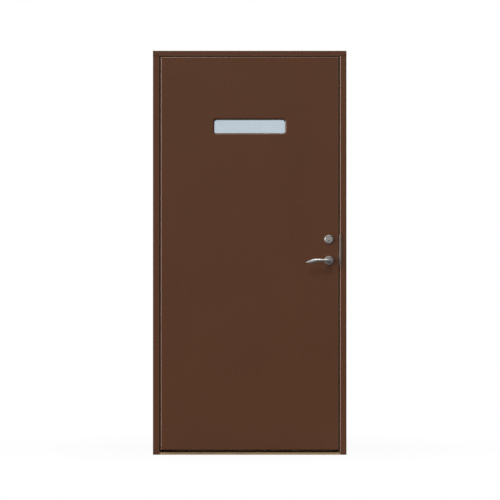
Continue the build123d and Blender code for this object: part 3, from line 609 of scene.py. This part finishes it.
class DoorFinishes(bpy.types.PropertyGroup):
    """Colours, roughness and surface sizes of the door's finishes."""

    paint: FloatVectorProperty(
        name="Paint", description="Colour of the powder coat",
        subtype="COLOR", size=3, min=0, max=1, default=(0.088, 0.0312, 0.0116))
    paint_roughness: FloatProperty(
        name="Paint Roughness", description="Least roughness of the powder coat",
        subtype="FACTOR", min=0, max=1, default=0.30)
    # Painted highlight: colour of the lighter paint that stands in for the light on the gap's
    # bends.
    edge_highlight_paint: FloatVectorProperty(
        name="Edge Highlight Paint", description="Colour of the paint on the bends along the door gap",
        subtype="COLOR", size=3, min=0, max=1, default=(0.190, 0.097, 0.058))
    bend: FloatProperty(
        name="Bend", description="Radius of the bends along the door gap",
        unit="LENGTH", default=0.005)
    top_gap: FloatProperty(
        name="Top Gap", description="Gap between the leaf and the head",
        unit="LENGTH", default=0.003)
    peel_size: FloatProperty(
        name="Peel Size", description="Width of the ripples in the powder coat",
        unit="LENGTH", default=0.0026)
    peel_depth: FloatProperty(
        name="Peel Depth", description="Height of the ripples in the powder coat",
        unit="LENGTH", default=0.00003)
    oak: FloatVectorProperty(
        name="Oak", description="Middle colour of the threshold's wood",
        subtype="COLOR", size=3, min=0, max=1, default=(0.370, 0.235, 0.117))
    oak_roughness: FloatProperty(
        name="Oak Roughness", description="Least roughness of the threshold's wood",
        subtype="FACTOR", min=0, max=1, default=0.44)
    # Painted shade on the threshold's tread: where it begins and where it ends at the stop.
    tread_shade_height: FloatProperty(
        name="Tread Shade Height", description="Where the darker tread of the threshold begins",
        unit="LENGTH", default=0.0105)
    tread_shade_back: FloatProperty(
        name="Tread Shade Back", description="Depth at which the darker tread ends at the stop",
        unit="LENGTH", default=0.028)
    rubber: FloatVectorProperty(
        name="Rubber", description="Colour of the seals and gaskets",
        subtype="COLOR", size=3, min=0, max=1, default=SLOT_COLOURS["black_rubber"])
    rubber_roughness: FloatProperty(
        name="Rubber Roughness", description="Least roughness of the seals and gaskets",
        subtype="FACTOR", min=0, max=1, default=0.66)
    zinc: FloatVectorProperty(
        name="Zinc", description="Colour of the plated steel",
        subtype="COLOR", size=3, min=0, max=1, default=SLOT_COLOURS["zinc_steel"])
    zinc_roughness: FloatProperty(
        name="Zinc Roughness", description="Least roughness of the plated steel",
        subtype="FACTOR", min=0, max=1, default=0.54)
    # Painted shade: the hinge arms are made near black so they vanish into the shade of the door
    # gap.
    gap_shade_zinc: FloatVectorProperty(
        name="Gap Shade Zinc", description="Colour of the hinge arms, near black as painted shade",
        subtype="COLOR", size=3, min=0, max=1, default=(0.045, 0.042, 0.040))
    chrome: FloatVectorProperty(
        name="Chrome", description="Colour of the satin chrome",
        subtype="COLOR", size=3, min=0, max=1, default=(0.385, 0.377, 0.370))
    steel: FloatVectorProperty(
        name="Steel", description="Colour of the lock's edge plate, bolts and screws",
        subtype="COLOR", size=3, min=0, max=1, default=SLOT_COLOURS["satin_chrome"])
    chrome_roughness: FloatProperty(
        name="Chrome Roughness", description="Roughness of the satin chrome",
        subtype="FACTOR", min=0, max=1, default=0.42)
    turned_roughness: FloatProperty(
        name="Turned Roughness", description="Roughness of the turned rings",
        subtype="FACTOR", min=0, max=1, default=0.46)
    strike: FloatVectorProperty(
        name="Strike", description="Colour of the dull strike plate",
        subtype="COLOR", size=3, min=0, max=1, default=(0.170, 0.137, 0.114))
    strike_roughness: FloatProperty(
        name="Strike Roughness", description="Least roughness of the dull strike plate",
        subtype="FACTOR", min=0, max=1, default=0.58)
    nickel: FloatVectorProperty(
        name="Nickel", description="Colour of the plated cylinder",
        subtype="COLOR", size=3, min=0, max=1, default=SLOT_COLOURS["plated_brass"])
    # Grime and painted shade: depth at which the key slot turns near black.
    slot_shade_start: FloatProperty(
        name="Grime And Shade", description="Depth in the key slot at which it turns dark",
        unit="LENGTH", default=0.0005)
    glass: FloatVectorProperty(
        name="Glass", description="Tint of one pane",
        subtype="COLOR", size=3, min=0, max=1, default=(0.713, 0.77, 0.815))
    spacer: FloatVectorProperty(
        name="Spacer", description="Colour of the bar between the panes",
        subtype="COLOR", size=3, min=0, max=1, default=SLOT_COLOURS["spacer_aluminium"])
    spacer_roughness: FloatProperty(
        name="Spacer Roughness", description="Least roughness of the bar between the panes",
        subtype="FACTOR", min=0, max=1, default=0.32)
    wool: FloatVectorProperty(
        name="Wool", description="Colour of the core",
        subtype="COLOR", size=3, min=0, max=1, default=SLOT_COLOURS["mineral_wool"])
    wool_roughness: FloatProperty(
        name="Wool Roughness", description="Least roughness of the core",
        subtype="FACTOR", min=0, max=1, default=0.88)


class DoorScrews(bpy.types.PropertyGroup):
    """Head sizes, and the cross recess as shares of a head's radius."""

    bead_head: FloatProperty(
        name="Bead Screw", description="Head radius of the glazing bead's screws",
        unit="LENGTH", default=0.0036)
    plate_head: FloatProperty(
        name="Plate Screw", description="Head radius of the hinge plates' screws",
        unit="LENGTH", default=0.0044)
    width: FloatProperty(
        name="Slot Width", description="Half the width of a slot",
        subtype="FACTOR", min=0.05, max=0.4, default=0.14)
    reach: FloatProperty(
        name="Slot Reach", description="How far a slot runs from the middle",
        subtype="FACTOR", min=0.2, max=0.9, default=0.62)
    depth: FloatProperty(
        name="Slot Depth", description="How deep the recess is",
        subtype="FACTOR", min=0.05, max=0.8, default=0.34)
    taper: FloatProperty(
        name="Slot Taper", description="Size of the recess's floor",
        subtype="FACTOR", min=0.2, max=1, default=0.6)


class DoorStage(bpy.types.PropertyGroup):
    """Camera, lamps, surrounding light and floor."""

    view_width: FloatProperty(
        name="View Width", description="Width of the picture at the door's face",
        unit="LENGTH", default=2.5565)
    view_middle: FloatVectorProperty(
        name="View Middle", description="Point at the middle of the picture",
        subtype="TRANSLATION", unit="LENGTH", size=3, default=(0.0015, -0.025, 1.047))
    view_distance: FloatProperty(
        name="View Distance", description="From the camera to the door's face",
        unit="LENGTH", default=9.0)
    key_light: FloatProperty(
        name="Key Light", description="Strength of the main light",
        subtype="UNSIGNED", min=0, default=1.15)
    key_direction: FloatVectorProperty(
        name="Key Direction", description="Towards the main light",
        subtype="DIRECTION", size=3, default=(-0.12, -0.66, 0.742))
    side_light: FloatProperty(
        name="Side Light", description="Strength of the light from the left",
        subtype="UNSIGNED", min=0, default=3.3)
    side_direction: FloatVectorProperty(
        name="Side Direction", description="Towards the light from the left",
        subtype="DIRECTION", size=3, default=(-0.89, -0.41, 0.17))
    top_light: FloatProperty(
        name="Top Light", description="Strength of the light from above",
        subtype="UNSIGNED", min=0, default=0.8)
    top_direction: FloatVectorProperty(
        name="Top Direction", description="Towards the light from above",
        subtype="DIRECTION", size=3, default=(-0.05, -0.30, 0.953))
    rear_light: FloatProperty(
        name="Rear Light", description="Strength of the light behind",
        subtype="UNSIGNED", min=0, default=2.0)
    rear_direction: FloatVectorProperty(
        name="Rear Direction", description="Towards the light behind",
        subtype="DIRECTION", size=3, default=(0.35, 0.70, 0.62))
    softness: FloatProperty(
        name="Softness", description="Width of the lights",
        subtype="ANGLE", default=math.radians(40))
    key_softness: FloatProperty(
        name="Key Softness", description="Width of the main light",
        subtype="ANGLE", default=math.radians(18))
    sky_light: FloatProperty(
        name="Sky Light", description="Strength of the soft light all round",
        subtype="UNSIGNED", min=0, max=2, default=0.16)
    room_shade: FloatProperty(
        name="Room Shade", description="Light of the mirrored room at its darkest",
        subtype="FACTOR", min=0, max=1, default=0.04)
    room_level: FloatProperty(
        name="Room Level", description="Light added at eye height",
        subtype="FACTOR", min=0, max=1, default=0.22)
    room_top: FloatProperty(
        name="Room Top", description="Light added higher up",
        subtype="FACTOR", min=0, max=1, default=0.20)
    room_sides: FloatProperty(
        name="Room Sides", description="Light added at both sides",
        subtype="FACTOR", min=0, max=1, default=0.16)
    room_behind: FloatProperty(
        name="Room Behind", description="Light of the background behind the door",
        subtype="FACTOR", min=0, max=1, default=0.5)
    floor_width: FloatProperty(
        name="Floor Width", description="Width of the floor",
        unit="LENGTH", default=3.2)
    floor_front: FloatProperty(
        name="Floor Front", description="Floor in front of the door",
        unit="LENGTH", default=0.5)
    floor_back: FloatProperty(
        name="Floor Back", description="Floor behind the door",
        unit="LENGTH", default=1.1)
    floor_shadow: FloatProperty(
        name="Floor Shadow", description="How much of the shadow the white floor shows",
        subtype="FACTOR", min=0, max=1, default=0.045)
    floor_bands: IntProperty(
        name="Floor Bands", description="Divisions of the floor",
        subtype="UNSIGNED", min=1, max=50, default=4)


class DOOR_OT_painted_steel(bpy.types.Operator):
    """Paint the frame, the leaf's skins and the glazing bead"""

    bl_idname = "door.painted_steel"
    bl_label = "Painted Steel"

    def execute(self, context):
        dress(PAINTED, brown_paint(context.scene.door_finishes))
        return {"FINISHED"}


class DOOR_OT_threshold(bpy.types.Operator):
    """Give the threshold its oak"""

    bl_idname = "door.threshold"
    bl_label = "Threshold"

    def execute(self, context):
        dress(["threshold"], oiled_oak(context.scene.door_finishes))
        return {"FINISHED"}


class DOOR_OT_seals(bpy.types.Operator):
    """Give the seals, gaskets and setting blocks their rubber"""

    bl_idname = "door.seals"
    bl_label = "Seals"

    def execute(self, context):
        dress(RUBBER, seal_rubber(context.scene.door_finishes))
        return {"FINISHED"}


class DOOR_OT_glazing(bpy.types.Operator):
    """Give the panes their glass and the spacer its metal"""

    bl_idname = "door.glazing"
    bl_label = "Glazing"

    def execute(self, context):
        look = context.scene.door_finishes
        dress(PANES, tinted_glass(look))
        dress(["glass_spacer"], spacer_bar(look))
        return {"FINISHED"}


class DOOR_OT_plated_steel(bpy.types.Operator):
    """Give the hinges, channels and lock works their zinc, and the core its wool"""

    bl_idname = "door.plated_steel"
    bl_label = "Hinges and Inner Steel"

    def execute(self, context):
        look = context.scene.door_finishes
        bright = zinc_plate(look, "zinc_plate", look.zinc)
        dress(HINGE_SEATS + LEAF_STEEL + LOCK_WORKS, bright)
        # Painted shade: near-black hinge arms, so they sink into the gap's shade.
        dress(HINGE_ARMS, zinc_plate(look, "gap_shade_zinc", look.gap_shade_zinc))
        dress(["leaf_core"], stone_wool(look))
        return {"FINISHED"}


class DOOR_OT_handles(bpy.types.Operator):
    """Give the levers, the thumbturn and their rosettes their satin chrome"""

    bl_idname = "door.handles"
    bl_label = "Handles"

    def execute(self, context):
        look = context.scene.door_finishes
        rough = look.turned_roughness
        dress(LEVERS, drawn_chrome(look, "lever_chrome", look.chrome, LEVER_BRUSH))
        rosettes = turned_metal("rosette_chrome", look.chrome, LEVER_ROSETTES[0], rough)
        dress(LEVER_ROSETTES, rosettes)
        rosette = turned_metal("turn_rosette_chrome", look.chrome, "thumbturn_rosette", rough)
        dress(["thumbturn_rosette"], rosette)
        return {"FINISHED"}


class DOOR_OT_lock(bpy.types.Operator):
    """Give the forend, the strike, the bolts and the cylinder their metal"""

    bl_idname = "door.lock"
    bl_label = "Lock"

    def execute(self, context):
        look = context.scene.door_finishes
        dress(LOCK_EDGE, drawn_chrome(look, "lock_edge_steel", look.steel, EDGE_BRUSH))
        dress(["strike_plate"], dull_steel(look))
        ring = turned_metal(
            "cylinder_ring_chrome", look.chrome, "cylinder_ring", look.turned_roughness)
        dress(["cylinder_ring"], ring)
        nickel = turned_metal(
            "cylinder_nickel", look.nickel, "cylinder_body", look.chrome_roughness)
        dress(["cylinder_body"], nickel)
        dress(["cylinder_plug"], key_plug(look))
        return {"FINISHED"}


class DOOR_OT_screws(bpy.types.Operator):
    """Put cross-head screws in the forend, the strike, the bead and the hinge plates"""

    bl_idname = "door.screws"
    bl_label = "Screws"

    def execute(self, context):
        look = context.scene.door_finishes
        screws = context.scene.door_screws
        steel = drawn_chrome(look, "screw_steel", look.steel, SCREW_BRUSH)
        zinc = bpy.data.materials["zinc_plate"]
        paint = bpy.data.materials["brown_paint"]

        low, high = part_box("lock_forend_screws")
        spots, size = self.upright_pair(low, high, high.x, DEEP_SINK_SHARE)
        set_screws("forend_screw_set", "lock_forend_screws", "leaf", steel,
                   spots, (-1, 0, 0), size, screws)

        low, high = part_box("strike_screws")
        spots, size = self.upright_pair(low, high, low.x, STRIKE_SINK_SHARE)
        set_screws("strike_screw_set", "strike_screws", "frame", steel,
                   spots, (1, 0, 0), size, screws)

        low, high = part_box("glazing_bead_screws")
        spots = self.round_window(low, high, screws.bead_head)
        size = (screws.bead_head, BEAD_SINK_SHARE, high.y - low.y)
        set_screws("bead_screw_set", "glazing_bead_screws", "leaf", paint,
                   spots, (0, -1, 0), size, screws)

        low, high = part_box("hinge_plate_screws")
        spots = self.on_plates(low, high, screws.plate_head)
        size = (screws.plate_head, DEEP_SINK_SHARE, high.x - low.x)
        set_screws("hinge_screw_set", "hinge_plate_screws", "leaf", zinc,
                   spots, (1, 0, 0), size, screws)
        return {"FINISHED"}

    def upright_pair(self, low, high, face, sink_share):
        """Spots and size of two screws along X, one above the other."""
        head = (high.y - low.y) / 2
        spots = [(face, 0, low.z + head), (face, 0, high.z - head)]
        return spots, (head, sink_share, high.x - low.x)

    def round_window(self, low, high, head):
        """Spots of the bead's screws: one at each end and two above and below."""
        middle = (low + high) / 2
        across = (high.x - low.x) / 2 - head
        up = (high.z - low.z) / 2 - head
        ends = [(side * across, high.y, middle.z) for side in SIDES]
        rows = [
            (side * across / 2, high.y, middle.z + row * up) for side in SIDES for row in SIDES
        ]
        return ends + rows

    def on_plates(self, low, high, head):
        """Spots of four screws about the middle of each hinge plate."""
        middle_y = (low.y + high.y) / 2
        spread = (high.y - low.y) / 2 - head
        boxes = [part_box(arm) for arm in HINGE_ARMS]
        heights = [(bottom.z + top.z) / 2 for bottom, top in boxes]
        pitch = high.z - head - heights[-1]
        return [
            (low.x, middle_y + side * spread, height + row * pitch)
            for height in heights for side in SIDES for row in SIDES
        ]


class DOOR_OT_stage(bpy.types.Operator):
    """Set the floor, the lamps, the surrounding light and the camera"""

    bl_idname = "door.stage"
    bl_label = "Stage"

    def execute(self, context):
        stage = context.scene.door_stage
        self.lay_floor(stage)
        self.hang_sun("key_light", stage.key_direction, stage.key_light, stage.key_softness)
        self.hang_sun("side_light", stage.side_direction, stage.side_light, stage.softness)
        self.hang_sun("top_light", stage.top_direction, stage.top_light, stage.softness)
        self.hang_sun("rear_light", stage.rear_direction, stage.rear_light, stage.softness)
        self.light_all_round(context.scene, stage)
        self.set_camera(context.scene, stage)
        return {"FINISHED"}

    def lay_floor(self, stage):
        """Lay a floor under the door, longer behind it than in front."""
        depth = stage.floor_front + stage.floor_back
        middle = (0, depth / 2 - stage.floor_front, 0)
        bands = stage.floor_bands
        shape = bmesh.new()
        bmesh.ops.create_grid(shape, x_segments=bands, y_segments=bands, size=0.5)
        bmesh.ops.scale(shape, vec=(stage.floor_width, depth, 1), verts=shape.verts)
        bmesh.ops.translate(shape, vec=middle, verts=shape.verts)
        mesh = bpy.data.meshes.new("floor")
        shape.to_mesh(mesh)
        shape.free()
        floor = bpy.data.objects.new("floor", mesh)
        bpy.context.scene.collection.objects.link(floor)
        mesh.materials.append(self.pale_floor(stage, depth, middle))

    def pale_floor(self, stage, depth, middle):
        """Grey to the light, but white to the camera, with a faint shadow that fades outwards."""
        pale = new_finish("pale_floor")
        camera, passing = pale.rays("Is Camera Ray", "Is Transmission Ray")
        grain = pale.noise(pale.place(), scale=40, detail=3)
        tone = pale.mix(grain, FLOOR_DARK, FLOOR_LIGHT)
        matt = pale.node("ShaderNodeBsdfDiffuse", inputs={"Color": tone})
        white = pale.node("ShaderNodeEmission", inputs={"Color": WHITE, "Strength": 1.0})
        reach = pale.length(pale.place((2 / stage.floor_width, 2 / depth, 0), middle))
        shadow = stage.floor_shadow * (1 - pale.band(reach, *FLOOR_FADE))
        seen = camera.larger(passing) * (1 - shadow)
        pale.output(pale.node("ShaderNodeMixShader", inputs={0: seen, 1: matt, 2: white}))
        return pale.owner

    def hang_sun(self, name, toward, strength, softness):
        """Hang a sun lamp in one direction."""
        lamp = bpy.data.lights.new(name, "SUN")
        lamp.energy = strength
        lamp.angle = softness
        hung = bpy.data.objects.new(name, lamp)
        hung.rotation_euler = Vector(toward).to_track_quat("Z", "Y").to_euler()
        bpy.context.scene.collection.objects.link(hung)

    def light_all_round(self, scene, stage):
        """White to the camera, a dim room to mirrored rays and a soft sky to the rest."""
        scene.world = scene.world or bpy.data.worlds.new("studio")
        sky = Finish(scene.world)
        camera, glossy, passing = sky.rays(
            "Is Camera Ray", "Is Glossy Ray", "Is Transmission Ray")
        way = sky.node("ShaderNodeTexCoord", output="Generated")
        across, depth, height = sky.axes(way)
        front = stage.room_shade + stage.room_level * sky.band(height, *LEVEL_RAMP)
        front = front + stage.room_top * sky.band(height, *TOP_RAMP)
        front = front + stage.room_sides * sky.band(abs(across), *SIDE_RAMP)
        behind = stage.room_behind * sky.band(depth, *BEHIND_RAMP)
        seen = camera.larger(passing)
        mirrored = glossy * (1 - seen) * front.larger(behind)
        soft = (1 - seen) * (1 - glossy) * stage.sky_light
        inputs = {"Color": WHITE, "Strength": seen + mirrored + soft}
        sky.output(sky.node("ShaderNodeBackground", inputs=inputs))
        scene.view_settings.view_transform = "Standard"

    def set_camera(self, scene, stage):
        """Put the camera square in front of the door."""
        lens = bpy.data.cameras.new("camera")
        lens.lens = lens.sensor_width * stage.view_distance / stage.view_width
        lens.clip_end = VIEW_LIMIT
        camera = bpy.data.objects.new("camera", lens)
        camera.location = Vector(stage.view_middle) - Vector((0, stage.view_distance, 0))
        camera.rotation_euler = (math.pi / 2, 0, 0)
        scene.collection.objects.link(camera)
        scene.camera = camera


class VIEW3D_PT_door(bpy.types.Panel):
    """Lists the door's operators and sizes"""

    bl_label = "Door"
    bl_space_type = "VIEW_3D"
    bl_region_type = "UI"
    bl_category = "Door"

    def draw(self, context):
        scene = context.scene
        for operator in OPERATORS:
            self.layout.operator(operator.bl_idname)
        for group in (scene.door_finishes, scene.door_screws, scene.door_stage):
            column = self.layout.column()
            for name in group.__annotations__:
                column.prop(group, name)


OPERATORS = (
    DOOR_OT_painted_steel,
    DOOR_OT_threshold,
    DOOR_OT_seals,
    DOOR_OT_glazing,
    DOOR_OT_plated_steel,
    DOOR_OT_handles,
    DOOR_OT_lock,
    DOOR_OT_screws,
    DOOR_OT_stage,
)
CLASSES = (DoorFinishes, DoorScrews, DoorStage, *OPERATORS, VIEW3D_PT_door)


def register():
    """Register the classes and hang their properties on the scene."""
    for each in CLASSES:
        bpy.utils.register_class(each)
    bpy.types.Scene.door_finishes = PointerProperty(type=DoorFinishes)
    bpy.types.Scene.door_screws = PointerProperty(type=DoorScrews)
    bpy.types.Scene.door_stage = PointerProperty(type=DoorStage)


def unregister():
    """Undo register."""
    del bpy.types.Scene.door_stage
    del bpy.types.Scene.door_screws
    del bpy.types.Scene.door_finishes
    for each in reversed(CLASSES):
        bpy.utils.unregister_class(each)


def main():
    """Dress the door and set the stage."""
    register()
    bpy.ops.door.painted_steel()
    bpy.ops.door.threshold()
    bpy.ops.door.seals()
    bpy.ops.door.glazing()
    bpy.ops.door.plated_steel()
    bpy.ops.door.handles()
    bpy.ops.door.lock()
    bpy.ops.door.screws()
    bpy.ops.door.stage()


if __name__ == "__main__":
    main()
